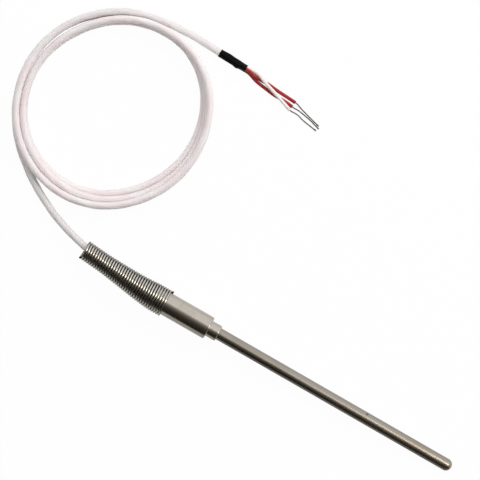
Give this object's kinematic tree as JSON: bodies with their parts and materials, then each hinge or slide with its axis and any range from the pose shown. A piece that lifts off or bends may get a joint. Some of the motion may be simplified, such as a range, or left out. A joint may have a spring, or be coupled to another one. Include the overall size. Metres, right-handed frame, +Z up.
{
  "type": "rtd sensor",
  "caption": "Resistance temperature probe: closed steel sheath in a turned sleeve, tapered wound-wire strain relief, thin lead laid in a coil, shrink sleeve and stripped red and white leads.",
  "frame": {"origin": "middle of the probe with its spring, seen from above, on the surface it lies on", "axes": "+X along the probe towards its tip, +Y towards the coil of its lead, +Z up"},
  "size_m": [0.2774, 0.1273, 0.014],
  "materials": {
    "sheath_steel": "satin drawn stainless tube",
    "sleeve_steel": "fine turned stainless",
    "spring_wire": "bright drawn wire",
    "lead_jacket": "thin translucent jacket over a twist of red and white cores",
    "shrink_black": "matte shrunk sleeve",
    "lead_insulation_red": "smooth extruded insulation",
    "lead_insulation_white": "smooth extruded insulation",
    "tinned_strand": "twisted tinned copper strands",
    "element_ceramic": "glazed element body",
    "bead_ceramic": "fired insulator bead",
    "cement": "set cement",
    "inner_wire_metal": "drawn nickel-plated wire",
    "ferrule_metal": "tinned crimp ferrule",
    "splice_film": "thin amber tube",
    "core_insulation": "insulated core with its strands",
    "potting_resin": "cast resin"
  },
  "bodies": {
    "root": {"probe_sheath": "sheath_steel", "transition_sleeve": "sleeve_steel", "strain_relief_spring": "spring_wire", "cable_lead_out": "lead_jacket", "cable_coil": "lead_jacket", "cable_tail": "lead_jacket", "end_shrink_sleeve": "shrink_black", "lead_red_a": "lead_insulation_red", "lead_red_b": "lead_insulation_red", "lead_white": "lead_insulation_white", "lead_end_red_a": "tinned_strand", "lead_end_red_b": "tinned_strand", "lead_end_white": "tinned_strand", "sensing_element": "element_ceramic", "insulator_bead_1": "bead_ceramic", "insulator_bead_2": "bead_ceramic", "insulator_bead_3": "bead_ceramic", "insulator_bead_4": "bead_ceramic", "tip_cement": "cement", "element_lead_a": "inner_wire_metal", "element_lead_b": "inner_wire_metal", "inner_wire_1": "inner_wire_metal", "inner_wire_2": "inner_wire_metal", "inner_wire_3": "inner_wire_metal", "weld_single": "inner_wire_metal", "weld_pair": "inner_wire_metal", "splice_ferrule_1": "ferrule_metal", "splice_ferrule_2": "ferrule_metal", "splice_ferrule_3": "ferrule_metal", "splice_tube_1": "splice_film", "splice_tube_2": "splice_film", "splice_tube_3": "splice_film", "cable_core_1": "core_insulation", "cable_core_2": "core_insulation", "cable_core_3": "core_insulation", "potting": "potting_resin"}
  },
  "joints": []
}
